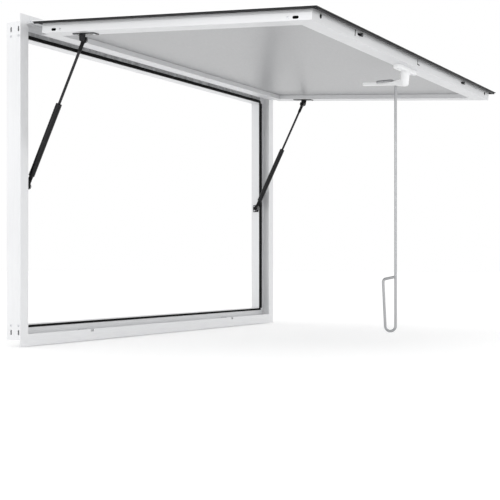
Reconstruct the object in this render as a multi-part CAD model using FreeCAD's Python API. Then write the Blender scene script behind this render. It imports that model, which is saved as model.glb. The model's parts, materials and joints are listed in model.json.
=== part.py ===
"""Serving window for a food truck: an aluminium frame with a top-hung awning door.

Millimetres. X runs along the window, +Y into the vehicle, +Z up. The frame is drawn from its own
lower edge and front face, and every sub-part is then moved so that the origin lies on the back face
of the sill flange, at mid length. The door, its latch and the upper strut ends are drawn in door
coordinates: X as the window, u away from the hinge axis and v from the outer skin inward. They are
then turned to the open pose, which is the pose that the files hold.
"""
import FreeCAD, Part
import math
import os

V = FreeCAD.Vector

# Driving dimensions
WIDTH = 1536.0  # over the flanges
HEIGHT = 948.0  # over the flanges
FLANGE_LAP = 17.5  # how far a flange stands out past the box
DEPTH = 67.0  # flange front to the frame's back
OPEN_TILT = 4.5  # degrees that the open door slopes down

# Frame extrusion, measured inward from the flange's outer edge
FLANGE_T = 2.0
FLANGE_W = 35.0
WALL = 2.0
REBATE = 26.0  # rebate wall behind the flange lip
THROAT = 60.0  # inner face of the opening
STOP = 33.0  # depth of the face that carries the seal
EDGE_R = 0.8
KEEPER_SCREW_Z = REBATE + 5

# Door, in door coordinates
HINGE_Y, HINGE_Z = -6.1, 930.0
DOOR_HALF = WIDTH / 2 - 38.9
HINGE_END, OUTER_END = 20.0, 892.5
SKIN_V, SKIN_T = 3.1, 1.2
RAIL_TOP = SKIN_V + SKIN_T
RAIL_FACE = 34.1
RAIL_W = 54.0
RAIL_WALL = 1.8
PANEL_V, PANEL_T = 18.0, 1.5  # inner panel's seen face and thickness
LIP = 20.0  # how far the skin stands out past the rails
TRIM_T, TRIM_W = 1.5, 18.5
NOTCH_X, NOTCH_U = 28.0, 44.0  # door's hinge-side corners: depth along X, and how far from the axis

# Continuous hinge
PIN_R, KNUCKLE_R, KNUCKLES = 2.5, 4.3, 31
LEAF_T = 1.5

# Gas struts
STRUT_X = -(WIDTH / 2 - 74.0)
LOWER_Y, LOWER_Z = 38.0, 462.0
LOWER_SCREWS_Y, LOWER_SCREWS_Z = 53.0, (LOWER_Z - 8, LOWER_Z + 8)
UPPER_U, UPPER_V = 168.3, 51.0
UPPER_SCREWS_U, UPPER_SCREWS_X = (UPPER_U - 28, UPPER_U + 34), DOOR_HALF - 36
TUBE_R, TUBE_BORE, ROD_R = 9.0, 7.5, 4.0
BALL_R = 5.0
SOCKET_R = 5.2
TUBE_TOP = 259.0  # tube's open end, from the lower ball
TUBE_FOOT = 33.0
ROD_TIP = 232.0  # rod's inner end, from the upper ball

# Latch
SPINDLE_U = 855.0
LEVER = 136.0
LEVER_V = 81.0
LATCH_X = 434.0
LATCH_TRAVEL = 16.0
TEETH, MODULE = 17, 2 * LATCH_TRAVEL / (math.pi / 2) / 17
BAR_U, BAR_V = 880.0, 16.0

SLOT_W, SLOT_L = 5.5, 15.0
SLOT_FROM_END = 39.0
SLOT_DEPTHS = (22.0, 50.0)
SCREW_FROM_END = 59.0
NEAR, FAR = "left", "right"


# Helpers -----------------------------------------------------------------------------------------


def outline(corners, closed=True):
    """Wire in the XY plane through corners (x, y, radius), each rounded by its radius."""
    spans = []
    for i, (x, y, radius) in enumerate(corners):
        here = V(x, y, 0)
        if radius == 0:
            spans.append((here, None, here))
            continue
        back = (V(*corners[i - 1][:2], 0) - here).normalize()
        ahead = (V(*corners[(i + 1) % len(corners)][:2], 0) - here).normalize()
        half = back.getAngle(ahead) / 2
        reach = radius / math.tan(half)
        inward = (back + ahead).normalize()
        middle = here + inward * (radius / math.sin(half) - radius)
        spans.append((here + back * reach, middle, here + ahead * reach))
    edges = []
    for i, (start, middle, end) in enumerate(spans):
        if middle:
            edges.append(Part.Arc(start, middle, end).toShape())
        last = i == len(spans) - 1
        following = spans[0 if last else i + 1][0]
        if (following - end).Length > 1e-6 and (closed or not last):
            edges.append(Part.makeLine(end, following))
    return Part.Wire(edges)


def plate(corners, height, base=0.0):
    """Solid of the outline, from z = base upward."""
    solid = Part.Face(outline(corners)).extrude(V(0, 0, height))
    solid.translate(V(0, 0, base))
    return solid


def bar(corners, length, middle=0.0):
    """Solid along X whose section is drawn in Y and Z."""
    solid = plate(corners, length, middle - length / 2)
    solid.rotate(V(0, 0, 0), V(1, 1, 1), 120)
    return solid


def box(low, high):
    size = V(*high) - V(*low)
    return Part.makeBox(size.x, size.y, size.z, V(*low))


def rod(radius, start, end):
    start, end = V(*start), V(*end)
    return Part.makeCylinder(radius, (end - start).Length, start, end - start)


def block(x, y, z, radius):
    """Rectangle with round corners, from (x0, x1) and (y0, y1), over (z0, z1)."""
    corners = [(x[0], y[0], radius), (x[1], y[0], radius), (x[1], y[1], radius), (x[0], y[1], radius)]
    return plate(corners, z[1] - z[0], z[0])


def slot(centre, along, across, width, length, through):
    """Cutter with round ends. centre is its middle, through its whole depth."""
    centre, along, across = V(*centre), V(*along), V(*across)
    reach = along * ((length - width) / 2)
    start = centre - across * (through / 2)
    cutter = Part.makeCylinder(width / 2, through, start - reach, across)
    cutter = cutter.fuse(Part.makeCylinder(width / 2, through, start + reach, across))
    side = along.cross(across) * (width / 2)
    ring = [start - reach - side, start + reach - side, start + reach + side, start - reach + side]
    flat = Part.Face(Part.makePolygon(ring + ring[:1])).extrude(across * through)
    return cutter.fuse(flat).removeSplitter()


def screw(head, towards, radius=3.5, height=1.4, shank=1.6, length=8.0):
    """Pan head screw whose head sits on the point, with its shank going towards a direction."""
    head, towards = V(*head), V(*towards)
    top = Part.makeCylinder(radius, height, head, towards * -1)
    top = top.makeFillet(height * 0.7, [top.Edges[0]])
    drive = Part.makeCylinder(radius * 0.4, height * 0.6, head - towards * (height * 0.4), towards * -1)
    return top.cut(drive).fuse(Part.makeCylinder(shank, length, head, towards))


def mirrored(shape):
    return shape.mirror(V(0, 0, 0), V(1, 0, 0))


def pair(shape):
    """The shape and its mirror image on the window's other side, as one group."""
    return Part.makeCompound([shape, mirrored(shape)])


def mitred(solid, length, reach, low, high, along_z):
    """Cuts both ends of a bar at 45 degrees. Its outer edge lies at 0 on Z, or on Y if not along_z."""
    half = length / 2
    trapezium = [(-half, 0, 0), (half, 0, 0), (half - reach, reach, 0), (-half + reach, reach, 0)]
    wedge = plate(trapezium, high - low, low)
    if along_z:
        wedge.rotate(V(0, 0, 0), V(1, 0, 0), 90)
        wedge.translate(V(0, low + high, 0))
    return solid.common(wedge)


def around_frame(make):
    """Four sides from one maker of sill pieces: head, sill, left and right."""
    sill, head = make(WIDTH), make(WIDTH)
    head.rotate(V(0, 0, 0), V(0, 1, 0), 180)
    head.translate(V(0, 0, HEIGHT))
    left, right = make(HEIGHT), make(HEIGHT)
    left.rotate(V(0, 0, 0), V(0, 1, 0), 90)
    left.translate(V(-WIDTH / 2, 0, HEIGHT / 2))
    right.rotate(V(0, 0, 0), V(0, 1, 0), -90)
    right.translate(V(WIDTH / 2, 0, HEIGHT / 2))
    return head, sill, left, right


def around_door(make):
    """Four sides from one maker of hinge side pieces: hinge, outer, left and right."""
    long, short = 2 * DOOR_HALF, OUTER_END - HINGE_END
    middle = (OUTER_END + HINGE_END) / 2
    hinge, outer = make(long), make(long)
    hinge.translate(V(0, HINGE_END, 0))
    outer.rotate(V(0, 0, 0), V(0, 0, 1), 180)
    outer.translate(V(0, OUTER_END, 0))
    left, right = make(short), make(short)
    left.rotate(V(0, 0, 0), V(0, 0, 1), -90)
    left.translate(V(-DOOR_HALF, middle, 0))
    right.rotate(V(0, 0, 0), V(0, 0, 1), 90)
    right.translate(V(DOOR_HALF, middle, 0))
    return hinge, outer, left, right


def opened(shape):
    """Door coordinates to the window's own, with the door open."""
    shape = shape.copy()
    shape.rotate(V(0, 0, 0), V(1, 0, 0), 180 + OPEN_TILT)
    shape.translate(V(0, HINGE_Y, HINGE_Z))
    return shape


def write(node, shape):
    shape = shape.copy()
    shape.translate(V(0, -FLANGE_T, -FLANGE_LAP / 2))
    shape.exportStep(os.path.join("parts", node + ".step"))


# Frame -------------------------------------------------------------------------------------------


def frame_bar(length):
    """Sill extrusion: flange, rebate and stop in front, one large chamber behind."""
    section = [
        (0, 0, EDGE_R), (FLANGE_T, 0, 0.3), (FLANGE_T, FLANGE_LAP, 0), (DEPTH, FLANGE_LAP, EDGE_R),
        (DEPTH, THROAT, EDGE_R), (STOP, THROAT, EDGE_R), (STOP, REBATE, 0), (FLANGE_T, REBATE, 0),
        (FLANGE_T, FLANGE_W, 0.3), (0, FLANGE_W, EDGE_R),
    ]
    inner = FLANGE_LAP + WALL
    rear = [
        (STOP + WALL, inner, 1), (DEPTH - WALL, inner, 1),
        (DEPTH - WALL, THROAT - WALL, 1), (STOP + WALL, THROAT - WALL, 1),
    ]
    front = [
        (2 * WALL, inner, 0.5), (STOP, inner, 0.5),
        (STOP, REBATE - WALL, 0.5), (2 * WALL, REBATE - WALL, 0.5),
    ]
    solid = bar(section, length).cut(bar(rear, length)).cut(bar(front, length))
    return mitred(solid, length, 100, -10, DEPTH + 10, True)


def seal_bar(length):
    """Hollow rubber seal on the stop, just clear of the closed door."""
    gap = 0.3
    front = RAIL_FACE + HINGE_Y + gap
    low, high = THROAT - 8.5, THROAT - 1.5
    section = [(front, low, 2), (front, high, 2), (STOP, high, 0.5), (STOP, low, 0.5)]
    hollow = [
        (front + 1.2, low + 1.4, 1), (front + 1.2, high - 1.4, 1),
        (STOP - 1, high - 1.4, 0.5), (STOP - 1, low + 1.4, 0.5),
    ]
    solid = bar(section, length).cut(bar(hollow, length))
    return mitred(solid, length, 100, -10, DEPTH + 10, True)


def cleat(low_a, high_a, low_b, high_b, leg):
    """Corner key in XZ with its outer corner at the origin side, from low_b to high_b on Y."""
    corners = [
        (low_a, low_a, 1), (low_a + leg, low_a, 1), (low_a + leg, high_a, 1),
        (high_a, high_a, 1), (high_a, low_a + leg, 1), (low_a, low_a + leg, 1),
    ]
    solid = plate(corners, high_b - low_b)
    solid.rotate(V(0, 0, 0), V(1, 0, 0), 90)
    solid.translate(V(0, high_b, 0))
    return solid


def frame_cleats():
    play = 0.4
    key = cleat(
        FLANGE_LAP + WALL + play, THROAT - WALL - play, STOP + WALL + play, DEPTH - WALL - play, 80
    )
    key.translate(V(-WIDTH / 2, 0, 0))
    outer_x = -(WIDTH / 2 - FLANGE_LAP)
    y = SLOT_DEPTHS[1]
    key = key.cut(rod(1.7, (outer_x, y, SCREW_FROM_END), (outer_x + 6, y, SCREW_FROM_END)))
    key = key.cut(slot((outer_x, y, SLOT_FROM_END), (0, 0, 1), (1, 0, 0), SLOT_W + 2, SLOT_L + 3, 50))
    upper = key.mirror(V(0, 0, HEIGHT / 2), V(0, 0, 1))
    return Part.makeCompound([key, upper, mirrored(key), mirrored(upper)])


def jamb_ends():
    """Heights of what repeats at each end of a jamb, as (slot, screw)."""
    return (SLOT_FROM_END, SCREW_FROM_END), (HEIGHT - SLOT_FROM_END, HEIGHT - SCREW_FROM_END)


def cut_jamb(jamb, outer_x):
    """Fixing slots and screw holes through a jamb's outer wall."""
    for slot_z, screw_z in jamb_ends():
        for y in SLOT_DEPTHS:
            jamb = jamb.cut(slot((outer_x, y, slot_z), (0, 0, 1), (1, 0, 0), SLOT_W, SLOT_L, 6))
            jamb = jamb.cut(rod(1.7, (outer_x - 3, y, screw_z), (outer_x + 3, y, screw_z)))
    return jamb


def corner_screws():
    """Screws through the left jamb's outer wall at its two ends."""
    outer_x = -(WIDTH / 2 - FLANGE_LAP)
    made = []
    for _, screw_z in jamb_ends():
        for y in SLOT_DEPTHS:
            made.append(screw((outer_x, y, screw_z), (1, 0, 0), length=4.0))
    return made


def latch_notch(pin_x):
    """What a locking pin's head needs to pass the sill's flange lip."""
    half = 7.5
    return box((pin_x - half, -1, REBATE), (pin_x + half, 4.5, FLANGE_W + 10))


def keeper(pin_x):
    """Folded steel keeper in the sill's rebate: a notched front, a floor and a back plate."""
    low, high = pin_x - LATCH_TRAVEL - 14, pin_x + 12
    thick, lift = 1.5, 1.2
    front = box((low, FLANGE_T + 0.1, REBATE), (high, FLANGE_T + 0.1 + thick, FLANGE_W - 0.5))
    floor = box((low, FLANGE_T + 0.1, REBATE), (high, STOP, REBATE + lift))
    back = box((low, STOP - thick, REBATE), (high, STOP, FLANGE_W - 0.5))
    notch = latch_notch(pin_x).cut(box((low, -2, 0), (high, 9, REBATE + lift)))
    whole = front.fuse([floor, back]).cut(notch)
    for x in keeper_screw_places(pin_x):
        whole = whole.cut(rod(1.6, (x, STOP - 4, KEEPER_SCREW_Z), (x, STOP + 1, KEEPER_SCREW_Z)))
    return whole.removeSplitter()


def keeper_screw_places(pin_x):
    return pin_x - LATCH_TRAVEL - 8, pin_x + 6


def keeper_screws():
    made = []
    for pin_x in (-LATCH_X, LATCH_X):
        for x in keeper_screw_places(pin_x):
            made.append(screw((x, STOP - 1.5, KEEPER_SCREW_Z), (0, 1, 0), 3.0, 1.2, 1.45, 6.0))
    return made


def cut_head(head):
    """The head has no lip below its rebate, so that the door's hinge side can swing up to it."""
    inner = WIDTH / 2 - REBATE
    return head.cut(box((-inner, -1, HEIGHT - FLANGE_W - 2), (inner, FLANGE_T + 1, HEIGHT - REBATE)))


def cut_sill(sill):
    """Notches for the locking pins and holes for the keepers' screws."""
    for pin_x in (-LATCH_X, LATCH_X):
        sill = sill.cut(latch_notch(pin_x))
        for x in keeper_screw_places(pin_x):
            sill = sill.cut(rod(1.5, (x, STOP - 1, KEEPER_SCREW_Z), (x, STOP + 5, KEEPER_SCREW_Z)))
    return sill


def lower_bracket():
    """Pad on the left jamb's inner wall that backs the strut's lower ball stud."""
    wall_x = -(WIDTH / 2 - THROAT)
    low, high = LOWER_Z - 14, LOWER_Z + 14
    pad = block((-high, -low), (STOP + 1.5, DEPTH - 8), (0, 2.5), 4)
    pad.rotate(V(0, 0, 0), V(0, 1, 0), 90)
    pad.translate(V(wall_x, 0, 0))
    for z in LOWER_SCREWS_Z:
        pad = pad.cut(rod(2.2, (wall_x - 1, LOWER_SCREWS_Y, z), (wall_x + 4, LOWER_SCREWS_Y, z)))
    return pad


def lower_screws():
    wall_x = -(WIDTH / 2 - THROAT)
    made = []
    for z in LOWER_SCREWS_Z:
        made.append(screw((wall_x + 2.5, LOWER_SCREWS_Y, z), (-1, 0, 0), 3.6, 1.5, 2.1, 9.0))
    return made


def cut_lower_screws(jamb, side):
    wall_x = side * (WIDTH / 2 - THROAT)
    for z in LOWER_SCREWS_Z:
        jamb = jamb.cut(rod(2.15, (wall_x - 4, LOWER_SCREWS_Y, z), (wall_x + 4, LOWER_SCREWS_Y, z)))
    return jamb


def frame_screws():
    """Every screw of the frame, as one group."""
    sided = corner_screws() + lower_screws()
    return Part.makeCompound(sided + [mirrored(each) for each in sided] + keeper_screws())


def make_frame():
    head, sill, left, right = around_frame(frame_bar)
    outer_x = WIDTH / 2 - FLANGE_LAP
    write("frame_head", cut_head(head))
    write("frame_sill", cut_sill(sill))
    write("frame_jamb_left", cut_lower_screws(cut_jamb(left, -outer_x), -1))
    write("frame_jamb_right", cut_lower_screws(cut_jamb(right, outer_x), 1))
    write("frame_corner_keys", frame_cleats())
    write("frame_screws", frame_screws())
    for side, seal in zip(("head", "sill", NEAR, FAR), around_frame(seal_bar)):
        write("seal_" + side, seal)
    write("keeper_left", keeper(-LATCH_X))
    write("keeper_right", keeper(LATCH_X))
    write("strut_lower_plate_left", lower_bracket())
    write("strut_lower_plate_right", mirrored(lower_bracket()))


# Hinge -------------------------------------------------------------------------------------------


def knuckle_run(first):
    """Middles of every other knuckle along X, and a knuckle's length."""
    pitch = 2 * DOOR_HALF / KNUCKLES
    return [-DOOR_HALF + pitch * (i + 0.5) for i in range(first, KNUCKLES, 2)], pitch - 0.5


def leaf(bars, first, bore):
    """Hinge leaf: a full-length plate and its knuckles, joined by webs. bars = plate, web sections."""
    plate_section, web_section = bars
    middles, length = knuckle_run(first)
    pieces = [bar(plate_section, 2 * DOOR_HALF)]
    for x in middles:
        pieces.append(bar(web_section, length, x))
        pieces.append(rod(KNUCKLE_R, (x - length / 2, 0, 0), (x + length / 2, 0, 0)))
    whole = pieces[0].fuse(pieces[1:])
    whole = whole.cut(rod(bore, (-DOOR_HALF - 1, 0, 0), (DOOR_HALF + 1, 0, 0)))
    return whole.removeSplitter()


def rivet_places():
    count = 14
    pitch = 2 * DOOR_HALF / count
    return [-DOOR_HALF + pitch * (i + 0.5) for i in range(count)]


def rivets(y, z, towards):
    """Coned rivet heads on a leaf, in the leaf's own coordinates."""
    made = []
    for x in rivet_places():
        made.append(Part.makeCone(2.8, 1.8, 1.2, V(x, y, z), V(*towards) * -1))
    return Part.makeCompound(made)


def make_hinge():
    """Drawn about the hinge axis. The frame's leaf stands on the flange, the door's lies on the skin."""
    face = -HINGE_Y
    frame_plate = [(face - LEAF_T, -4, 0), (face, -4, 0.3), (face, 15, 0.3), (face - LEAF_T, 15, 0.5)]
    frame_web = [(0, 0, 0), (0, -4, 0), (face - 0.2, -4, 0), (face - 0.2, 3, 0)]
    frame_leaf = leaf((frame_plate, frame_web), 0, PIN_R)
    frame_leaf.translate(V(0, HINGE_Y, HINGE_Z))
    pin = rod(PIN_R, (-DOOR_HALF, HINGE_Y, HINGE_Z), (DOOR_HALF, HINGE_Y, HINGE_Z))
    top = SKIN_V - LEAF_T
    door_plate = [(KNUCKLE_R + 2, top, 0), (46, top, 0.5), (46, SKIN_V, 0.2), (KNUCKLE_R + 2, SKIN_V, 0)]
    door_web = [(1, top, 0), (KNUCKLE_R + 2.5, top, 0), (KNUCKLE_R + 2.5, SKIN_V, 0), (1, SKIN_V, 0)]
    door_leaf = leaf((door_plate, door_web), 1, PIN_R + 0.1)
    frame_rivets = rivets(face - LEAF_T, 9, (0, 1, 0))
    frame_rivets.translate(V(0, HINGE_Y, HINGE_Z))
    write("hinge_frame_leaf", frame_leaf)
    write("hinge_pin", pin)
    write("hinge_door_leaf", opened(door_leaf))
    write("hinge_frame_rivets", frame_rivets)
    write("hinge_door_rivets", opened(rivets(34, top, (0, 0, 1))))


# Door --------------------------------------------------------------------------------------------


def door_rail(length):
    """Hollow rail of the door, stepped to hold the inner panel."""
    step = RAIL_W - 10
    under = PANEL_V + 0.2
    section = [
        (0, RAIL_TOP, 0.5), (step, RAIL_TOP, 0), (step, under, 0), (RAIL_W, under, 0.5),
        (RAIL_W, RAIL_FACE, EDGE_R), (0, RAIL_FACE, EDGE_R), (0, 14, 0), (0.8, 13.5, 0), (0, 13, 0),
    ]
    wall = RAIL_WALL
    hollow = [
        (wall, RAIL_TOP + wall, 0), (step - wall, RAIL_TOP + wall, 0), (step - wall, under + wall, 0),
        (RAIL_W - wall, under + wall, 0), (RAIL_W - wall, RAIL_FACE - wall, 0),
        (wall, RAIL_FACE - wall, 0),
    ]
    solid = bar(section, length).cut(bar(hollow, length))
    return mitred(solid, length, 120, 0, 50, False)


def notched(shape):
    """Without the door's two hinge-side corners, which would foul the frame's mitred corners."""
    for side in (-1, 1):
        near, far = sorted((side * (DOOR_HALF + 1), side * (DOOR_HALF - NOTCH_X)))
        shape = shape.cut(box((near, HINGE_END - 1, 0), (far, NOTCH_U, RAIL_FACE + 1)))
    return shape


def door_cleats():
    wall = RAIL_WALL + 0.3
    key = cleat(wall, RAIL_W - 10 - wall, 0, 10, 62)
    key.rotate(V(0, 0, 0), V(1, 0, 0), -90)
    key.translate(V(0, 0, RAIL_TOP + wall + 10 - RAIL_TOP))
    low = key.BoundBox
    key.translate(V(-DOOR_HALF + wall - low.XMin, HINGE_END + wall - low.YMin, 6.5 - low.ZMin))
    far = key.mirror(V(0, (HINGE_END + OUTER_END) / 2, 0), V(0, 1, 0))
    return Part.makeCompound([key, far, mirrored(key), mirrored(far)])


def side_marks():
    """Slots and screws along a side rail's outer face, as (u of slot, u of screw)."""
    return (86.0, 108.0), (848.0, 826.0)


MARK_V, MARK_WIDTH, MARK_LENGTH = 26.0, 7.5, 17.0


def cut_side_rail(rail, side):
    face = side * DOOR_HALF
    for slot_u, screw_u in side_marks():
        rail = rail.cut(slot((face, slot_u, MARK_V), (0, 1, 0), (1, 0, 0), MARK_WIDTH, MARK_LENGTH, 6))
        rail = rail.cut(rod(1.7, (face - 3, screw_u, MARK_V), (face + 3, screw_u, MARK_V)))
    for u in UPPER_SCREWS_U:
        rail = rail.cut(rod(2.15, (side * UPPER_SCREWS_X, u, 31), (side * UPPER_SCREWS_X, u, 35)))
    return rail


def door_screws():
    """Every screw of the door but the handle's, as one group."""
    made = []
    for _, screw_u in side_marks():
        made.append(screw((-DOOR_HALF, screw_u, MARK_V), (1, 0, 0), length=4.0))
    for u in UPPER_SCREWS_U:
        made.append(screw((-UPPER_SCREWS_X, u, RAIL_FACE + 2.5), (0, 0, -1), 4.0, 1.6, 2.1, 9.0))
    access = screw((ACCESS_X + 12, OUTER_END, 15), (0, -1, 0), 2.8, 1.0, 1.5, 6.0)
    return Part.makeCompound(made + [mirrored(each) for each in made] + [access])


END_HOLE, END_HOLE_R = 48.0, 6.0
GAUGE_X = -469.0
ACCESS_X = 0.0


def cut_outer_rail(rail):
    """Holes in the outer rail's face for the latch, and in its underside for the handle."""
    face = OUTER_END
    for side in (-1, 1):
        x = side * (DOOR_HALF - END_HOLE)
        rail = rail.cut(rod(END_HOLE_R, (x, face - 3, BAR_V), (x, face + 1, BAR_V)))
        middle = side * LATCH_X - LATCH_TRAVEL / 2
        length = LATCH_TRAVEL + 7.5
        rail = rail.cut(slot((middle, face, BAR_V), (1, 0, 0), (0, 1, 0), 7.2, length, 8))
    for low, high in gauge_slots():
        rail = rail.cut(box((low[0], face - 3, low[1]), (high[0], face + 1, high[1])))
    rail = rail.cut(rod(1.6, (ACCESS_X + 12, face - 3, 15), (ACCESS_X + 12, face + 1, 15)))
    rail = rail.cut(rod(6.5, (0, SPINDLE_U, RAIL_FACE - 4), (0, SPINDLE_U, RAIL_FACE + 1)))
    for x in handle_screw_places():
        rail = rail.cut(rod(2.1, (x, SPINDLE_U, RAIL_FACE - 4), (x, SPINDLE_U, RAIL_FACE + 1)))
    return rail


def gauge_slots():
    """Narrow openings in the outer face, as corners (x, v): a tall slot, and an L at mid length."""
    return (
        ((GAUGE_X - 2.5, 8), (GAUGE_X + 2.5, 25)),
        ((ACCESS_X - 2, 8), (ACCESS_X + 2, 25)),
        ((ACCESS_X + 2, 22), (ACCESS_X + 19, 25)),
    )


def slot_plugs():
    """Black plugs, just below the surface, in the openings of the outer and side rails' faces."""
    front, play = OUTER_END - 0.2, 0.05
    back = OUTER_END - RAIL_WALL
    made = []
    for low, high in gauge_slots():
        start = (low[0] + play, back, low[1] + play)
        made.append(box(start, (high[0] - play, front, high[1] - play)))
    tall, leg, arm = made
    arm = arm.fuse(box((ACCESS_X, back, 22 + play), (ACCESS_X + 4, front, 25 - play)))
    made = [tall, leg.fuse(arm).removeSplitter()]
    for side in (-1, 1):
        x = side * (DOOR_HALF - END_HOLE)
        made.append(rod(END_HOLE_R - play, (x, back, BAR_V), (x, front, BAR_V)))
        x = side * (DOOR_HALF - 1.0)
        for slot_u, _ in side_marks():
            width, length = MARK_WIDTH - 2 * play, MARK_LENGTH - 2 * play
            made.append(slot((x, slot_u, MARK_V), (0, 1, 0), (1, 0, 0), width, length, 1.6))
    return Part.makeCompound(made)


def skin():
    half = DOOR_HALF + LIP
    return block((-half, half), (HINGE_END, OUTER_END + LIP), (SKIN_V, SKIN_V + SKIN_T), 2)


def edge_trim():
    """Flat black rubber gasket under the skin's free edges, on three sides, and at the notches."""
    half = DOOR_HALF + LIP - 0.5
    end = OUTER_END + LIP - 0.5
    low, high = RAIL_TOP, RAIL_TOP + TRIM_T
    side = block((-half, -half + TRIM_W), (HINGE_END + 2, end), (low, high), 0.5)
    corner_end = -DOOR_HALF + NOTCH_X - 0.3
    side = side.fuse(box((-half + 1, HINGE_END + 2, low), (corner_end, NOTCH_U - 0.3, high)))
    side = side.removeSplitter()
    outer = block((-half + TRIM_W + 0.1, half - TRIM_W - 0.1), (end - TRIM_W, end), (low, high), 0.5)
    return Part.makeCompound([side, mirrored(side), outer])


def inner_panel():
    """Flat sheet between the rails, let under their steps."""
    inset = RAIL_W - 9.8
    x = DOOR_HALF - inset
    return box((-x, HINGE_END + inset, PANEL_V - PANEL_T), (x, OUTER_END - inset, PANEL_V))


def stiffeners():
    """Light hat sections from the hinge rail to the outer rail, between the skin and the panel."""
    low, high = RAIL_TOP, PANEL_V - PANEL_T
    start, end = HINGE_END + RAIL_W - 9, OUTER_END - RAIL_W + 9
    made = []
    for x in (-340.0, 0.0, 340.0):
        hat = box((x - 20, start, low), (x + 20, end, high))
        hat = hat.cut(box((x - 18.8, start - 1, low + 1.2), (x + 18.8, end + 1, high)))
        for side in (-1, 1):
            near, far = sorted((x + side * 18.8, x + side * 34))
            hat = hat.fuse(box((near, start, high - 1.2), (far, end, high)))
        made.append(hat.removeSplitter())
    return Part.makeCompound(made)


def upper_bracket():
    """Flat plate under the left side rail with one ear that carries the strut's upper ball."""
    foot = block(
        (STRUT_X - 10, STRUT_X + 16), (UPPER_U - 36, UPPER_U + 42), (RAIL_FACE, RAIL_FACE + 2.5), 4
    )
    rise = UPPER_V - RAIL_FACE + 6
    web = plate([(-11, 0, 0), (11, 0, 0), (8, rise, 6), (-8, rise, 6)], 3)
    web.rotate(V(0, 0, 0), V(1, 1, 1), 120)
    web.translate(V(STRUT_X - 10, UPPER_U, RAIL_FACE))
    whole = foot.fuse(web)
    for u in UPPER_SCREWS_U:
        low, high = (-UPPER_SCREWS_X, u, RAIL_FACE - 1), (-UPPER_SCREWS_X, u, RAIL_FACE + 4)
        whole = whole.cut(rod(2.3, low, high))
    return whole.removeSplitter()


def ball_stud(base, ball, foot):
    """Stud along X from a foot to a ball centre. base is the wall it stands off from."""
    sign = 1 if ball[0] > base[0] else -1
    collar = rod(6.0, base, (base[0] + sign * foot, base[1], base[2]))
    neck = rod(2.9, base, ball)
    return neck.fuse([collar, Part.makeSphere(BALL_R, V(*ball))]).removeSplitter()


def upper_stud():
    return ball_stud((STRUT_X - 7, UPPER_U, UPPER_V), (STRUT_X, UPPER_U, UPPER_V), 0.6)


def make_door():
    hinge, outer, left, right = [notched(rail) for rail in around_door(door_rail)]
    write("door_hinge_rail", opened(hinge))
    write("door_outer_rail", opened(cut_outer_rail(outer)))
    write("door_side_rail_left", opened(cut_side_rail(left, -1)))
    write("door_side_rail_right", opened(cut_side_rail(right, 1)))
    write("door_corner_keys", opened(notched(door_cleats())))
    write("door_screws", opened(door_screws()))
    write("door_skin", opened(skin()))
    write("door_edge_trim", opened(edge_trim()))
    write("door_stiffeners", opened(stiffeners()))
    write("door_inner_panel", opened(inner_panel()))
    write("slot_plugs", opened(slot_plugs()))
    write("strut_upper_bracket_left", opened(upper_bracket()))
    write("strut_upper_bracket_right", opened(mirrored(upper_bracket())))
    write("strut_upper_studs", opened(pair(upper_stud())))


# Struts ------------------------------------------------------------------------------------------


def strut_ends():
    """The two ball centres of the left strut with the door open."""
    tilt = math.radians(OPEN_TILT)
    y = HINGE_Y - UPPER_U * math.cos(tilt) + UPPER_V * math.sin(tilt)
    z = HINGE_Z - UPPER_U * math.sin(tilt) - UPPER_V * math.cos(tilt)
    return V(STRUT_X, y, z), V(STRUT_X, LOWER_Y, LOWER_Z)


def along_strut(shape):
    """From strut coordinates, +Z running from the upper ball to the lower one, to the window's."""
    upper, lower = strut_ends()
    run = lower - upper
    shape = shape.copy()
    shape.rotate(V(0, 0, 0), V(1, 0, 0), math.degrees(math.atan2(-run.y, run.z)))
    shape.translate(upper)
    return shape


def socket_end(grip, length):
    """Moulded ball socket at the origin with a neck of the given length along +Z."""
    body = Part.makeCylinder(8.6, 12.6, V(-5.2, 0, 0), V(1, 0, 0))
    body = body.makeFillet(2.0, [body.Edges[2]])
    shoulder = Part.makeCone(6.4, grip, 10, V(0, 0, 4))
    neck = Part.makeCylinder(grip, length - 14, V(0, 0, 14))
    whole = body.fuse([shoulder, neck])
    mouth = Part.makeCylinder(4.0, 8.0, V(-8.0, 0, 0), V(1, 0, 0))
    return whole.cut(Part.makeSphere(SOCKET_R, V(0, 0, 0))).cut(mouth)


def strut_parts():
    """The left strut's pieces in strut coordinates."""
    upper, lower = strut_ends()
    span = (lower - upper).Length
    top, foot = span - TUBE_TOP, span - TUBE_FOOT
    upper_neck = 34.0
    tube = Part.makeCylinder(TUBE_R, foot - top, V(0, 0, top))
    tube = tube.makeFillet(1.2, [tube.Edges[0], tube.Edges[2]])
    tube = tube.cut(Part.makeCylinder(TUBE_BORE, foot - top - 5, V(0, 0, top)))
    guide = Part.makeCylinder(TUBE_BORE, 14, V(0, 0, top + 1.5))
    guide = guide.cut(Part.makeCylinder(ROD_R + 0.1, 20, V(0, 0, top)))
    piston = Part.makeCylinder(TUBE_BORE - 0.3, 14, V(0, 0, ROD_TIP - 14))
    inner_rod = Part.makeCylinder(ROD_R, ROD_TIP - 14 - upper_neck, V(0, 0, upper_neck))
    lower_end = socket_end(6.2, TUBE_FOOT)
    lower_end.rotate(V(0, 0, 0), V(1, 0, 0), 180)
    lower_end.translate(V(0, 0, span))
    return {
        "rod": inner_rod,
        "piston": piston,
        "upper_socket": socket_end(5.4, upper_neck),
        "tube": tube,
        "guide": guide,
        "lower_socket": lower_end,
    }


def lower_stud():
    """Ball stud in the lower socket. It ends just short of the plate on the jamb."""
    pad_face = -(WIDTH / 2 - THROAT) + 2.5
    start = (pad_face + 0.5, LOWER_Y, LOWER_Z)
    return ball_stud(start, (STRUT_X, LOWER_Y, LOWER_Z), STRUT_X - 7.2 - pad_face - 0.5)


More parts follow.
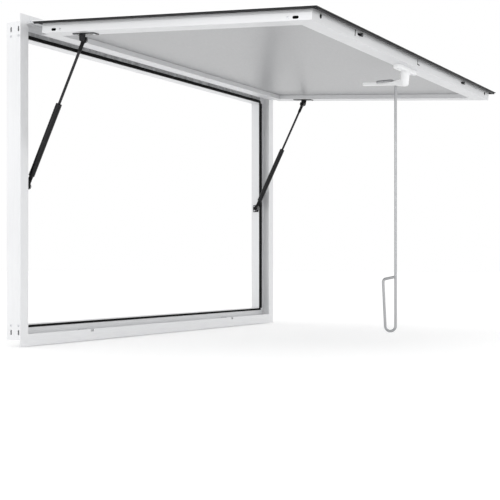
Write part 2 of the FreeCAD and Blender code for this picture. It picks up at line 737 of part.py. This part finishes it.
def make_struts():
    for name, shape in strut_parts().items():
        placed = along_strut(shape)
        write("strut_" + name + "_left", placed)
        write("strut_" + name + "_right", mirrored(placed))
    write("strut_lower_stud_left", lower_stud())
    write("strut_lower_stud_right", mirrored(lower_stud()))


# Latch -------------------------------------------------------------------------------------------


def tooth(height, depth, at):
    """Straight-flanked tooth about the Y axis, its pitch line at y = at, pointing along +Y."""
    half = math.pi * MODULE / 4 - 0.16
    lean = math.tan(math.radians(20))
    return [
        (-half - depth * lean, at - depth, 0), (half + depth * lean, at - depth, 0),
        (half - height * lean, at + height, 0), (-half + height * lean, at + height, 0),
    ]


GEAR_LOW, GEAR_HIGH = 22.0, 28.0
BASE_T = 11.0


def pinion():
    """Gear on the spindle, with a tooth space facing the bar."""
    pitch_r = MODULE * TEETH / 2
    root = pitch_r - 1.25 * MODULE
    body = Part.makeCylinder(root, GEAR_HIGH - GEAR_LOW, V(0, 0, GEAR_LOW))
    blades = []
    for i in range(TEETH):
        blade = plate(tooth(0.8 * MODULE, 1.3 * MODULE, pitch_r), GEAR_HIGH - GEAR_LOW, GEAR_LOW)
        blade.rotate(V(0, 0, 0), V(0, 0, 1), 360 / TEETH * (i + 0.5))
        blades.append(blade)
    whole = body.fuse(blades).removeSplitter()
    whole = whole.cut(box((-3.5, -3.5, GEAR_LOW - 1), (3.5, 3.5, GEAR_HIGH + 1)))
    whole.translate(V(0, SPINDLE_U, 0))
    return whole


def drive_bar():
    """Flat bar in the outer rail, with the rack that the pinion drives."""
    pitch_u = SPINDLE_U + MODULE * TEETH / 2
    root_u = pitch_u + 1.25 * MODULE
    far_u = BAR_U
    half = LATCH_X + 36
    flat = block((-half, half), (root_u + 2, far_u), (BAR_V - 3, BAR_V + 3), 1)
    rack_half = 30.0
    pieces = [box((-rack_half, root_u, BAR_V), (rack_half, far_u, GEAR_HIGH))]
    pitch = math.pi * MODULE
    for i in range(-7, 8):
        across = tooth(0.8 * MODULE, 1.3 * MODULE, pitch_u)
        corners = [(x + i * pitch, 2 * pitch_u - y, r) for x, y, r in across]
        pieces.append(plate(corners[::-1], GEAR_HIGH - GEAR_LOW, GEAR_LOW))
    return flat.fuse(pieces).removeSplitter()


def locking_pin(x):
    """Mushroom pin from the drive bar out through the rail's face."""
    head_r, head_t, neck_end = 5.5, 3.0, OUTER_END + 3
    neck = rod(3.0, (x, BAR_U, BAR_V), (x, neck_end, BAR_V))
    head = rod(head_r, (x, neck_end, BAR_V), (x, neck_end + head_t, BAR_V))
    head = head.makeFillet(0.8, head.Edges[:1] + head.Edges[2:])
    return neck.fuse(head)


def gear_case():
    """Open case in the rail that carries the pinion and guides the rack."""
    low, high = GEAR_LOW - 1.8, RAIL_FACE - RAIL_WALL
    half, near_u, far_u = 20.0, 841.0, 863.5
    case = box((-half, near_u, low), (half, far_u, high))
    room = rod(12.2, (0, SPINDLE_U, low + 1.5), (0, SPINDLE_U, high - 2))
    bore = rod(4.95, (0, SPINDLE_U, low - 1), (0, SPINDLE_U, high + 1))
    return case.cut(room).cut(bore)


def handle_screw_places():
    return -58.0, 58.0


def handle_base():
    """Long escutcheon under the outer rail with a raised round collar at the spindle."""
    foot = block((-75, 75), (SPINDLE_U - 13, SPINDLE_U + 13), (RAIL_FACE, RAIL_FACE + BASE_T), 12)
    top = RAIL_FACE + BASE_T
    foot = foot.makeFillet(3.0, [e for e in foot.Edges if e.CenterOfMass.z > top - 0.1])
    collar = rod(13.0, (0, SPINDLE_U, top - 2), (0, SPINDLE_U, top + 3))
    whole = foot.fuse(collar)
    whole = whole.cut(rod(6.5, (0, SPINDLE_U, RAIL_FACE - 1), (0, SPINDLE_U, RAIL_FACE + 20)))
    for x in handle_screw_places():
        whole = whole.cut(rod(2.2, (x, SPINDLE_U, RAIL_FACE - 1), (x, SPINDLE_U, RAIL_FACE + 20)))
    return whole


def handle_screws():
    made = []
    for x in handle_screw_places():
        made.append(screw((x, SPINDLE_U, RAIL_FACE + BASE_T), (0, 0, -1), 3.8, 1.4, 2.0, 18.0))
    return Part.makeCompound(made)


def spindle():
    half = 3.45
    low, high = GEAR_LOW, LEVER_V - 6
    return box((-half, SPINDLE_U - half, low), (half, SPINDLE_U + half, high))


def handle_lever():
    """Neck and cranked arm in one casting. The arm points back to the hinge."""
    neck_low = RAIL_FACE + BASE_T + 3.4
    neck = Part.makeCone(14.0, 13.0, LEVER_V + 3 - neck_low, V(0, SPINDLE_U, neck_low))
    tip = SPINDLE_U - LEVER
    side = [
        (SPINDLE_U + 11, LEVER_V - 7, 2),
        (SPINDLE_U + 11, LEVER_V + 5, 4),
        (SPINDLE_U - 12, LEVER_V + 6, 10),
        (SPINDLE_U - 40, LEVER_V + 4, 20),
        (tip, LEVER_V + 4.5, 3),
        (tip, LEVER_V - 3.5, 3),
        (SPINDLE_U - 40, LEVER_V - 5, 20),
        (SPINDLE_U - 12, LEVER_V - 12, 8),
    ]
    arm = bar(side, 30)
    above = [
        (-12, SPINDLE_U + 12, 11),
        (12, SPINDLE_U + 12, 11),
        (12, SPINDLE_U - 7, 8),
        (5.2, SPINDLE_U - 27, 10),
        (5.2, SPINDLE_U - 60, 40),
        (7.5, tip, 7),
        (-7.5, tip, 7),
        (-5.2, SPINDLE_U - 60, 40),
        (-5.2, SPINDLE_U - 27, 10),
        (-12, SPINDLE_U - 7, 8),
    ]
    arm = arm.common(plate(above, 60, LEVER_V - 30))
    whole = neck.fuse(arm)
    half = 3.5
    return whole.cut(box((-half, SPINDLE_U - half, 0), (half, SPINDLE_U + half, LEVER_V - 6)))


def handle_cap():
    """Domed cover on the lever over its fixing screw."""
    cap = rod(7.0, (0, SPINDLE_U, LEVER_V + 3), (0, SPINDLE_U, LEVER_V + 7.5))
    return cap.makeFillet(1.6, [cap.Edges[0]]).cut(handle_lever())


def make_latch():
    write("handle_base", opened(handle_base()))
    write("handle_screws", opened(handle_screws()))
    write("gear_case", opened(gear_case()))
    write("handle_spindle", opened(spindle()))
    write("handle_pinion", opened(pinion()))
    write("handle_lever", opened(handle_lever()))
    write("handle_cap", opened(handle_cap()))
    write("drive_bar", opened(drive_bar()))
    write("locking_pins", opened(Part.makeCompound([locking_pin(-LATCH_X), locking_pin(LATCH_X)])))


def main():
    os.makedirs("parts", exist_ok=True)
    make_frame()
    make_hinge()
    make_door()
    make_struts()
    make_latch()


main()
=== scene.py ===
import bpy
import bmesh
import json
import math
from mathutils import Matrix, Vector


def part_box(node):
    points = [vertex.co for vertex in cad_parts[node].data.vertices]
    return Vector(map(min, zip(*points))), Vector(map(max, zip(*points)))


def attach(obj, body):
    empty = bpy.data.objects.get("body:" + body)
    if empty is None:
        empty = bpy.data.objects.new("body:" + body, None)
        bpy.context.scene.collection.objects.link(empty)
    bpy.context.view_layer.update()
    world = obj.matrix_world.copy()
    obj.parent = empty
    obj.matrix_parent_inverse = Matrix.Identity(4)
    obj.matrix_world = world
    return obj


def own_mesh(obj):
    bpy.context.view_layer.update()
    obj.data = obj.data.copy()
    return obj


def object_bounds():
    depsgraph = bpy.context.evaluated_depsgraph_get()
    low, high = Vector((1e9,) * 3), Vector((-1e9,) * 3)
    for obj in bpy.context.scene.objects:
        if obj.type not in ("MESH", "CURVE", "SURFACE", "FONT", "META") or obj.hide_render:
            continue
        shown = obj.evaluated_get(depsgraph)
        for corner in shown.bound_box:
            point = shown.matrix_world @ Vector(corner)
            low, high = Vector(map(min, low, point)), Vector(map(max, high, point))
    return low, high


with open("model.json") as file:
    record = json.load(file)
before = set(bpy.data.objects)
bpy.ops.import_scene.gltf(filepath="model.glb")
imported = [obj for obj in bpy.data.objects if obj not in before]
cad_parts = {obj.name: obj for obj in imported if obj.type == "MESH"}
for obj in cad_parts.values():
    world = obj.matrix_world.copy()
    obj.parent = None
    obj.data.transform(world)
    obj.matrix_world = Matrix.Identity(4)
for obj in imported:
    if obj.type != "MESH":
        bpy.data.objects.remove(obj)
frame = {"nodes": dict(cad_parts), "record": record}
CAD_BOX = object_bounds()
NODES = frame["nodes"]

# How far the open door slopes down from level, and the line of its hinge
OPEN_TILT = math.radians(4.5)
SIN, COS = math.sin(OPEN_TILT), math.cos(OPEN_TILT)
AXIS = Vector((0, -0.0081, 0.92125))


# Shader helpers ----------------------------------------------------------------------------------


class Shader:
    """A small wrapper that builds one node material."""

    def __init__(self, name):
        self.material = bpy.data.materials.new(name)
        self.material.use_nodes = True
        self.tree = self.material.node_tree
        self.tree.nodes.clear()
        self.surface = self.node("ShaderNodeBsdfPrincipled")
        out = self.node("ShaderNodeOutputMaterial")
        self.link(self.surface.outputs["BSDF"], out.inputs["Surface"])
        self.coords = self.node("ShaderNodeTexCoord").outputs["Object"]
        self.height = None

    def node(self, kind):
        return self.tree.nodes.new(kind)

    def link(self, source, target):
        self.tree.links.new(source, target)

    def stretched(self, scale):
        """Object coordinates scaled by (x, y, z), so that noise runs in lines."""
        mapping = self.node("ShaderNodeMapping")
        mapping.inputs["Scale"].default_value = scale
        self.link(self.coords, mapping.inputs["Vector"])
        return mapping.outputs["Vector"]

    def noise(self, vector, scale, detail=3.0, rough=0.55):
        noise = self.node("ShaderNodeTexNoise")
        noise.inputs["Scale"].default_value = scale
        noise.inputs["Detail"].default_value = detail
        noise.inputs["Roughness"].default_value = rough
        self.link(vector, noise.inputs["Vector"])
        return noise.outputs["Fac"]

    def ramp(self, value, low, high, stops=(0.35, 0.65)):
        ramp = self.node("ShaderNodeValToRGB")
        ramp.color_ramp.elements[0].position = stops[0]
        ramp.color_ramp.elements[1].position = stops[1]
        ramp.color_ramp.elements[0].color = (*low, 1)
        ramp.color_ramp.elements[1].color = (*high, 1)
        self.link(value, ramp.inputs["Fac"])
        return ramp.outputs["Color"]

    def range(self, value, low, high, start=0.3, end=0.7):
        remap = self.node("ShaderNodeMapRange")
        remap.inputs["From Min"].default_value = start
        remap.inputs["From Max"].default_value = end
        remap.inputs["To Min"].default_value = low
        remap.inputs["To Max"].default_value = high
        self.link(value, remap.inputs["Value"])
        return remap.outputs["Result"]

    def mix(self, factor, first, second):
        mix = self.node("ShaderNodeMix")
        mix.data_type = "RGBA"
        self.link(factor, mix.inputs["Factor"])
        self.link(first, mix.inputs["A"])
        self.link(second, mix.inputs["B"])
        return mix.outputs["Result"]

    def bump(self, height, strength, distance):
        bump = self.node("ShaderNodeBump")
        bump.inputs["Strength"].default_value = strength
        bump.inputs["Distance"].default_value = distance
        self.link(height, bump.inputs["Height"])
        if self.height:
            self.link(self.height, bump.inputs["Normal"])
        self.height = bump.outputs["Normal"]
        self.link(self.height, self.surface.inputs["Normal"])

    def set(self, **values):
        """Sockets of the shader by name, in lower case and with underscores for spaces."""
        for name, value in values.items():
            socket = name.replace("_", " ").title()
            self.surface.inputs[socket].default_value = value


def shaded(colour, spread):
    """Two tones about a colour."""
    low = tuple(c * (1 - spread) for c in colour)
    high = tuple(min(1.0, c * (1 + spread)) for c in colour)
    return low, high


def extruded(name, colour, lines, metallic=0.35, rough=0.42):
    """Satin anodised extrusion. lines is the axis that its fine die lines run along."""
    shader = Shader(name)
    scale = [1.0, 1.0, 1.0]
    scale["XYZ".index(lines)] = 0.012
    streaks = shader.noise(shader.stretched(scale), 900.0, 4.0, 0.6)
    clouds = shader.noise(shader.coords, 5.0, 4.0)
    low, high = shaded(colour, 0.025)
    tone = shader.ramp(clouds, low, high)
    fine = shader.ramp(streaks, *shaded(colour, 0.05))
    handled = shader.noise(shader.coords, 26.0, 5.0, 0.7)
    shader.link(shader.mix(handled, tone, fine), shader.surface.inputs["Base Color"])
    polish = shader.range(handled, rough - 0.07, rough + 0.1)
    shader.link(polish, shader.surface.inputs["Roughness"])
    shader.set(metallic=metallic)
    shader.bump(streaks, 0.25, 0.00005)
    shader.bump(shader.noise(shader.coords, 40.0, 2.0), 0.08, 0.0004)
    return shader.material


def painted(name, colour, rough=0.35, peel=0.12, coat=0.25, spread=0.02, metallic=0.0, gloss=0.5):
    """Sprayed paint or powder coat with orange peel, faint dirt and fine scuffs."""
    shader = Shader(name)
    shader.surface.inputs["Specular IOR Level"].default_value = gloss
    clouds = shader.noise(shader.coords, 4.0, 5.0, 0.6)
    tone = shader.ramp(clouds, *shaded(colour, spread))
    specks = shader.noise(shader.coords, 420.0, 2.0, 0.5)
    dust = shader.ramp(specks, *shaded(colour, spread * 1.5), stops=(0.3, 0.8))
    scuffs = shader.noise(shader.stretched((1.0, 9.0, 2.0)), 60.0, 6.0, 0.75)
    shader.link(shader.mix(scuffs, tone, dust), shader.surface.inputs["Base Color"])
    polish = shader.range(scuffs, rough - 0.06, rough + 0.12)
    shader.link(polish, shader.surface.inputs["Roughness"])
    shader.set(metallic=metallic, coat_weight=coat, coat_roughness=0.2)
    shader.bump(shader.noise(shader.coords, 520.0, 2.0, 0.45), peel, 0.00012)
    shader.bump(shader.noise(shader.coords, 3.0, 2.0), 0.1, 0.002)
    return shader.material


def metal(name, colour, rough=0.3, lines=(1.0, 1.0, 1.0), spread=0.08):
    """Plated or drawn steel with fine marks along its length and small stains."""
    shader = Shader(name)
    marks = shader.noise(shader.stretched(lines), 700.0, 5.0, 0.7)
    stains = shader.noise(shader.coords, 90.0, 4.0, 0.6)
    tone = shader.ramp(stains, *shaded(colour, spread))
    bright = shader.ramp(marks, *shaded(colour, spread * 0.6))
    shader.link(shader.mix(stains, tone, bright), shader.surface.inputs["Base Color"])
    polish = shader.range(stains, rough - 0.08, rough + 0.14)
    shader.link(polish, shader.surface.inputs["Roughness"])
    shader.set(metallic=1.0)
    shader.bump(marks, 0.3, 0.00008)
    return shader.material


def rubbery(name, colour, rough=0.62, grain=1400.0, gloss=0.25):
    """Extruded rubber or nylon: faint bloom, fine grain and rubbed shine."""
    shader = Shader(name)
    shader.surface.inputs["Specular IOR Level"].default_value = gloss
    bloom = shader.noise(shader.coords, 30.0, 5.0, 0.65)
    shader.link(shader.ramp(bloom, *shaded(colour, 0.35)), shader.surface.inputs["Base Color"])
    polish = shader.range(bloom, rough - 0.12, rough + 0.12)
    shader.link(polish, shader.surface.inputs["Roughness"])
    shader.bump(shader.noise(shader.coords, grain, 3.0, 0.6), 0.35, 0.0001)
    return shader.material


ALUMINIUM = (0.725, 0.73, 0.74)
RAIL = (0.66, 0.665, 0.675)
LOOKS = {
    "frame_x": extruded("frame_lines_x", ALUMINIUM, "X"),
    "frame_z": extruded("frame_lines_z", ALUMINIUM, "Z"),
    "door_x": extruded("door_lines_x", RAIL, "X"),
    "door_y": extruded("door_lines_y", RAIL, "Y"),
    "white_skin": painted("white_skin", (0.84, 0.845, 0.85), 0.3, 0.1, 0.4),
    "inner_panel": painted("inner_panel", (0.315, 0.318, 0.325), 0.36, 0.02, 0.18, 0.012),
    "hinge_metal": extruded("hinge_mill_finish", (0.74, 0.75, 0.76), "X", 0.6, 0.38),
    "fasteners": metal("bright_zinc", (0.62, 0.63, 0.65), 0.28),
    "seal_rubber": rubbery("seal_rubber", (0.004, 0.004, 0.004), gloss=0.08),
    "lip_rubber": rubbery("lip_rubber", (0.012, 0.012, 0.013), 0.5, 900.0, 0.3),
    "pin_steel": metal("dark_pin", (0.06, 0.06, 0.065), 0.28, spread=0.2),
    # painted shade: near-black plugs fill the rails' slots, standing in for the shaded hollow
    # behind them
    "slot_black": rubbery("slot_black", (0.003, 0.003, 0.003), 0.9, 900.0, 0.0),
    "latch_steel": metal("zinc_plate", (0.60, 0.61, 0.62), 0.34),
    "white_handle": painted("white_powder_coat", (0.82, 0.825, 0.83), 0.4, 0.3, 0.1),
    "strut_black": painted(
        "black_enamel", (0.005, 0.005, 0.006), 0.24, 0.05, 0.12, 0.25, gloss=0.2
    ),
    "strut_rod_steel": metal("dark_rod", (0.03, 0.03, 0.032), 0.24, (1.0, 1.0, 0.1), 0.2),
    "stud_steel": metal("stud_zinc", (0.5, 0.51, 0.52), 0.3),
    "strut_plastic": rubbery("black_nylon", (0.004, 0.004, 0.0045), 0.5, 900.0, 0.14),
    # steel pull hook, coloured mid grey as painted reflection: it stands in for the dark edges
    # that bright steel shows
    "hook_steel": metal("bright_rod", (0.36, 0.365, 0.375), 0.34, (1.0, 1.0, 0.02), 0.02),
    # painted shade: grey strip standing in for the shade in the head's rebate
    "tape": rubbery("grey_foam_tape", (0.34, 0.343, 0.35), 0.8, 700.0, 0.1),
    # painted shade: dark strip standing in for the deeper shade in the jambs' rebates
    "tape_dark": rubbery("dark_foam_tape", (0.03, 0.031, 0.033), 0.8, 700.0, 0.06),
    "clip": metal("spring_clip", (0.45, 0.45, 0.46), 0.25, spread=0.1),
}
LINES = {
    "frame_head": "frame_x", "frame_sill": "frame_x", "frame_jamb_left": "frame_z",
    "frame_jamb_right": "frame_z", "frame_corner_keys": "frame_x", "door_hinge_rail": "door_x",
    "door_outer_rail": "door_x", "door_side_rail_left": "door_y", "door_side_rail_right": "door_y",
    # slot_plugs carry the black of painted shade inside the slots
    "door_corner_keys": "door_x", "door_stiffeners": "door_y", "slot_plugs": "slot_black",
    # door_edge_trim is black rubber at the lip's edge; where it runs over the rest of the lip's
    # underside its black is painted shade
    "locking_pins": "pin_steel", "door_edge_trim": "lip_rubber",
}


def finish_nodes():
    slots = {part["node"]: part["material_slot"] for part in frame["record"]["subparts"]}
    for name, node in NODES.items():
        look = LOOKS[LINES.get(name, slots[name])]
        node.data.materials.clear()
        node.data.materials.append(look)


# Pieces that only Blender makes ------------------------------------------------------------------


def add_piece(name, edit, look, body, smooth=False):
    """Object from a finished bmesh, with its material, riding on a CAD body."""
    bmesh.ops.recalc_face_normals(edit, faces=edit.faces)
    for face in edit.faces:
        face.smooth = smooth
    mesh = bpy.data.meshes.new(name)
    edit.to_mesh(mesh)
    edit.free()
    mesh.materials.append(LOOKS[look])
    piece = bpy.data.objects.new(name, mesh)
    bpy.context.collection.objects.link(piece)
    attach(piece, body)
    return piece


def ring_of(edit, points):
    return [edit.verts.new(point) for point in points]


def join_rings(edit, first, second):
    count = len(first)
    for i in range(count):
        j = (i + 1) % count
        edit.faces.new((first[i], first[j], second[j], second[i]))


def swept(edit, section, stations):
    """Closed section carried through the stations, each a function from (a, b) to a point."""
    rings = [ring_of(edit, [station(a, b) for a, b in section]) for station in stations]
    for first, second in zip(rings, rings[1:]):
        join_rings(edit, first, second)
    edit.faces.new(rings[0][::-1])
    edit.faces.new(rings[-1])


def lathe(edit, start, along, profile, sides=40):
    """Closed ring of revolution about the line from start. profile holds (distance, radius)."""
    along = Vector(along).normalized()
    across = along.orthogonal().normalized()
    other = along.cross(across)
    loops = []
    for distance, radius in profile:
        centre = Vector(start) + along * distance
        points = []
        for i in range(sides):
            turn = 2 * math.pi * i / sides
            points.append(centre + (across * math.cos(turn) + other * math.sin(turn)) * radius)
        loops.append(ring_of(edit, points))
    for first, second in zip(loops, loops[1:] + loops[:1]):
        join_rings(edit, first, second)


def laid(edit, section, place, steps, amount, beats):
    """Section along a run that wavers a little. place(part, waver) gives each station."""
    stations = []
    for i in range(steps + 1):
        waver = amount * math.sin(beats[0] * i) * math.sin(beats[1] * i)
        stations.append(place(i / steps, waver))
    swept(edit, section, stations)


# Painted shade in the rebates: a dark strip on the stop beside the seal at both jambs and a grey
# one at the head; and the head seal's wing
TAPE_T = 0.0006
TAPE_W = 0.0160
TAPE_SHOULDER = 0.7
TAPE_BED = 0.00002
TAPE_GAP = 0.0003
TAPE_WAVER = 0.00025
WING_W = 0.0036
WING_RIDGE = 1.6
HEAD_TAPE_W = 0.0110
SIDE_STEPS, LONG_STEPS = 60, 100


def add_shade_strips_and_wing():
    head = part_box("seal_head")
    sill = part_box("seal_sill")
    bed_y = head[1].y - TAPE_BED
    shoulder = -TAPE_T * TAPE_SHOULDER
    section = [(0, 0), (TAPE_W, 0), (TAPE_W, shoulder)]
    section += [(TAPE_W - TAPE_T, -TAPE_T), (TAPE_T, -TAPE_T), (0, shoulder)]
    low_z = sill[1].z + 0.001
    run_z = head[0].z - 0.002 - sill[1].z
    for side, name in ((-1, "left"), (1, "right")):
        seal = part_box("seal_" + name)
        edge = seal[0].x if side < 0 else seal[1].x

        def down_jamb(part, waver):
            z = low_z + run_z * part
            return lambda a, b: (edge + side * (a + TAPE_GAP + waver), bed_y + b, z)

        edit = bmesh.new()
        laid(edit, section, down_jamb, SIDE_STEPS, TAPE_WAVER, (0.9, 0.23))
        # dark strip on the jamb's stop, painted shade of the deep rebate
        add_piece("stop_tape_" + name, edit, "tape_dark", "frame")

    def along_head(part, waver):
        x = head[0].x + (head[1].x - head[0].x) * part
        return lambda a, b: (x, bed_y + b, head[1].z + a + TAPE_GAP + waver)

    wing = [(0, 0), (WING_W, 0), (WING_W, -TAPE_T)]
    wing += [(WING_W * 0.5, -TAPE_T * WING_RIDGE), (0, -TAPE_T)]
    band = [(a * HEAD_TAPE_W / TAPE_W + WING_W, b) for a, b in section]
    # the grey strip on the head's stop is painted shade of the rebate under the door; the seal's
    # wing is black rubber
    for name, look, outline in (
        ("seal_wing_head", "seal_rubber", wing), ("stop_tape_head", "tape", band)
    ):
        edit = bmesh.new()
        laid(edit, outline, along_head, LONG_STEPS, TAPE_WAVER, (0.7, 0.19))
        add_piece(name, edit, look, "frame")


# Rubber bulb under the skin's free edges.
BULB_W = 0.0075
BULB_H = 0.0048
BULB_V = 0.00575
BULB_FULLNESS = 0.8
BULB_WAVER = 0.0002
BULB_START_U = 0.026
BULB_EDGE_U, BULB_EDGE_X = 0.0045, 0.0005
BULB_CORNER_GAP = 0.0004
BULB_FACETS = 16


def on_door(x, u, v):
    """Row-frame point of the open door: u runs out from the hinge axis, v inward from its skin."""
    return Vector((x, AXIS.y - u * COS + v * SIN, AXIS.z - u * SIN - v * COS))


def bulb_profile():
    profile = []
    for i in range(BULB_FACETS + 1):
        turn = math.pi * i / BULB_FACETS
        rise = BULB_H * math.sin(turn) ** BULB_FULLNESS
        profile.append((BULB_W / 2 * (1 + math.cos(turn)), BULB_V + rise))
    return profile


def add_bulb(name, place, steps, beats):
    edit = bmesh.new()
    laid(edit, bulb_profile(), place, steps, BULB_WAVER, beats)
    flatten(add_piece(name, edit, "lip_rubber", "awning", True))


def add_bulbs():
    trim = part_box("door_edge_trim")
    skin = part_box("door_skin")
    outer_u = (AXIS.y - skin[0].y) / COS - BULB_EDGE_U
    half = trim[1].x - BULB_EDGE_X
    inner = half - BULB_W - BULB_CORNER_GAP
    for side, name in ((-1, "left"), (1, "right")):

        def along_side(part, waver):
            u = BULB_START_U + (outer_u - BULB_START_U) * part
            return lambda a, b: on_door(side * (half - a + waver), u, b)

        add_bulb("lip_bulb_" + name, along_side, SIDE_STEPS, (1.1, 0.31))

    def along_edge(part, waver):
        x = -inner + 2 * inner * part
        return lambda a, b: on_door(x, outer_u - a + waver, b)

    add_bulb("lip_bulb_outer", along_edge, LONG_STEPS, (0.9, 0.27))


def flatten(bulb):
    """Gives the bulb its own copy of its mesh; its shape stays as built."""
    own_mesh(bulb)


def smooth_path(corners, steps=12):
    """Points along straight runs joined by round bends. corners hold (point, radius)."""
    path = [corners[0][0]]
    for (before, _), (here, radius), (after, _) in zip(corners, corners[1:], corners[2:]):
        back = (before - here).normalized()
        ahead = (after - here).normalized()
        half = back.angle(ahead) / 2
        reach = radius / math.tan(half)
        centre = here + (back + ahead).normalized() * (radius / math.sin(half))
        start = here + back * reach
        finish = here + ahead * reach
        for i in range(steps + 1):
            chord = start.lerp(finish, i / steps) - centre
            path.append(centre + chord.normalized() * radius)
    path.append(corners[-1][0])
    return path


ROUNDED_END = ((0.3, 0.94), (0.6, 0.75), (0.85, 0.35))


def plane_of(path):
    """Normal of the plane that a bent path lies in, from its first bend."""
    for a, b, c in zip(path, path[1:], path[2:]):
        turn = (b - a).cross(c - b)
        if turn.length > 1e-9:
            return turn.normalized()


def tube(edit, path, radius, sides=20):
    """Round rod along a path in one plane, with rounded ends."""
    normal = plane_of(path)
    first = (path[1] - path[0]).normalized()
    last = (path[-1] - path[-2]).normalized()
    rings = []
    for reach, size in ROUNDED_END[::-1]:
        rings.append((path[0] - first * radius * reach, first, radius * size))
    for i, point in enumerate(path):
        ahead = (path[min(i + 1, len(path) - 1)] - path[max(i - 1, 0)]).normalized()
        rings.append((point, ahead, radius))
    for reach, size in ROUNDED_END:
        rings.append((path[-1] + last * radius * reach, last, radius * size))
    loops = []
    for point, ahead, size in rings:
        across = normal.cross(ahead).normalized()
        around = []
        for i in range(sides):
            turn = 2 * math.pi * i / sides
            around.append(point + (normal * math.cos(turn) + across * math.sin(turn)) * size)
        loops.append(ring_of(edit, around))
    for one, two in zip(loops, loops[1:]):
        join_rings(edit, one, two)
    edit.faces.new(loops[0][::-1])
    edit.faces.new(loops[-1])


# Rings on the gas struts: rolled beads near both ends of a tube, and clips on the ball sockets
STRUT_DOWN = Vector((0, 0.457580, -0.889168))
STRUT_X = 0.694
UPPER_U, UPPER_V = 0.1683, 0.051
LOWER_BALL = Vector((0, 0.036, 0.45325))
TUBE_TOP = 0.259
TUBE_R = 0.0090
SOCKET_R = 0.0086
SUNK = 0.0003
BEADS = (("bead_top", 0.012), ("bead_mid", 0.020), ("bead_foot", 0.216))
BEAD_W, BEAD_H = 0.0022, 0.0004
CLIP_W, CLIP_H, CLIP_X = 0.0014, 0.0007, 0.0036


def ring_profile(width, inner, outer):
    """Closed profile of a ring whose outside is rounded."""
    profile = [(0, inner)]
    for i in range(9):
        turn = math.pi * i / 8
        drop = (outer - inner) * 0.6 * (1 - math.sin(turn))
        profile.append((width / 2 * (1 - math.cos(turn)), outer - drop))
    profile.append((width, inner))
    return profile


def add_strut_rings():
    upper = on_door(0, UPPER_U, UPPER_V)
    bead = ring_profile(BEAD_W, TUBE_R - SUNK, TUBE_R + BEAD_H)
    clip = ring_profile(CLIP_W, SOCKET_R - SUNK, SOCKET_R + CLIP_H)
    sockets = (("upper", upper, "strut_rod_"), ("lower", LOWER_BALL, "strut_tube_"))
    for side, name in ((-1, "left"), (1, "right")):
        shift = Vector((side * STRUT_X, 0, 0))
        top = LOWER_BALL - STRUT_DOWN * TUBE_TOP
        for label, along in BEADS:
            edit = bmesh.new()
            lathe(edit, top + shift + STRUT_DOWN * along, STRUT_DOWN, bead)
            piece = "strut_%s_%s" % (label, name)
            add_piece(piece, edit, "strut_black", "strut_tube_" + name, True)
        for label, ball, body in sockets:
            edit = bmesh.new()
            start = ball + shift - Vector((side * CLIP_X, 0, 0))
            lathe(edit, start, (-side, 0, 0), clip)
            piece = "socket_clip_%s_%s" % (label, name)
            add_piece(piece, edit, "clip", body + name, True)


# Pull hook, a loose rod that hangs on the lever. Its corners are measured from its bend's centre.
HOOK_R = 0.0040
HOOK_U, HOOK_V = 0.812, 0.0875
HOOK_BEND = 0.016
HOOK_LOW = -0.748
LOOP_R = 0.0164


def add_pull_hook():
    centre = on_door(0, HOOK_U, HOOK_V)
    plane = Vector((-math.sqrt(0.5), math.sqrt(0.5), 0))
    corners = [
        ((0.044, 0.010), 0),
        ((0.0, HOOK_BEND), 0.030),
        ((-HOOK_BEND, 0.014), 0.015),
        ((-HOOK_BEND, HOOK_LOW), LOOP_R),
        ((0.017, HOOK_LOW), LOOP_R),
        ((0.025, HOOK_LOW + 0.158), 0.010),
        ((-HOOK_BEND + HOOK_R, HOOK_LOW + 0.165), 0),
    ]
    placed = [(centre + plane * a + Vector((0, 0, b)), radius) for (a, b), radius in corners]
    edit = bmesh.new()
    tube(edit, smooth_path(placed), HOOK_R)
    add_piece("pull_hook", edit, "hook_steel", "handle", True)


# Stage -------------------------------------------------------------------------------------------


FLOOR_HALF = 30
FLOOR_GAP = 0.002
FLOOR_TONES = ((0.9, 0.9, 0.9), (0.92, 0.92, 0.92))


def add_floor():
    mesh = bpy.data.meshes.new("floor")
    edit = bmesh.new()
    bmesh.ops.create_grid(edit, x_segments=8, y_segments=8, size=FLOOR_HALF)
    edit.to_mesh(mesh)
    edit.free()
    floor = bpy.data.objects.new("floor", mesh)
    floor.location = (0, 0, CAD_BOX[0][2] - FLOOR_GAP)
    bpy.context.collection.objects.link(floor)
    shader = Shader("pale_floor")
    cloud = shader.noise(shader.coords, 1.5, 3.0)
    tone = shader.ramp(cloud, FLOOR_TONES[0], FLOOR_TONES[1])
    shader.link(tone, shader.surface.inputs["Base Color"])
    shader.set(roughness=0.9, emission_color=(1, 1, 1, 1), emission_strength=0.14)
    mesh.materials.append(shader.material)


def add_light(name, place, target, size, power):
    data = bpy.data.lights.new(name, "AREA")
    data.shape = "RECTANGLE"
    data.size, data.size_y = size
    data.energy = power
    light = bpy.data.objects.new(name, data)
    light.location = place
    light.rotation_euler = (Vector(target) - Vector(place)).to_track_quat("-Z", "Y").to_euler()
    bpy.context.collection.objects.link(light)


def add_world(strength):
    world = bpy.data.worlds.new("studio")
    world.use_nodes = True
    back = world.node_tree.nodes["Background"]
    back.inputs["Color"].default_value = (1, 1, 1, 1)
    back.inputs["Strength"].default_value = strength
    bpy.context.scene.world = world


def add_camera():
    data = bpy.data.cameras.new("camera")
    data.sensor_width = 36.0
    data.lens = 75.7
    data.shift_x = 0.10
    data.shift_y = 0.031
    data.clip_end = 200
    camera = bpy.data.objects.new("camera", data)
    camera.location = (-3.0354, -2.0033, 0.2225)
    camera.rotation_euler = (math.radians(90), 0, math.radians(-58.27))
    bpy.context.collection.objects.link(camera)
    bpy.context.scene.camera = camera


finish_nodes()
add_shade_strips_and_wing()
add_bulbs()
add_strut_rings()
add_pull_hook()
add_floor()
add_world(1.0)
add_light("key", (-5.0, -0.6, 1.4), (0, -0.4, 0.6), (3.0, 2.0), 58)
add_light("fill", (0.6, -5.5, 0.4), (0, 0, 0.4), (3.0, 2.0), 32)
add_camera()
bpy.context.scene.view_settings.view_transform = "Standard"
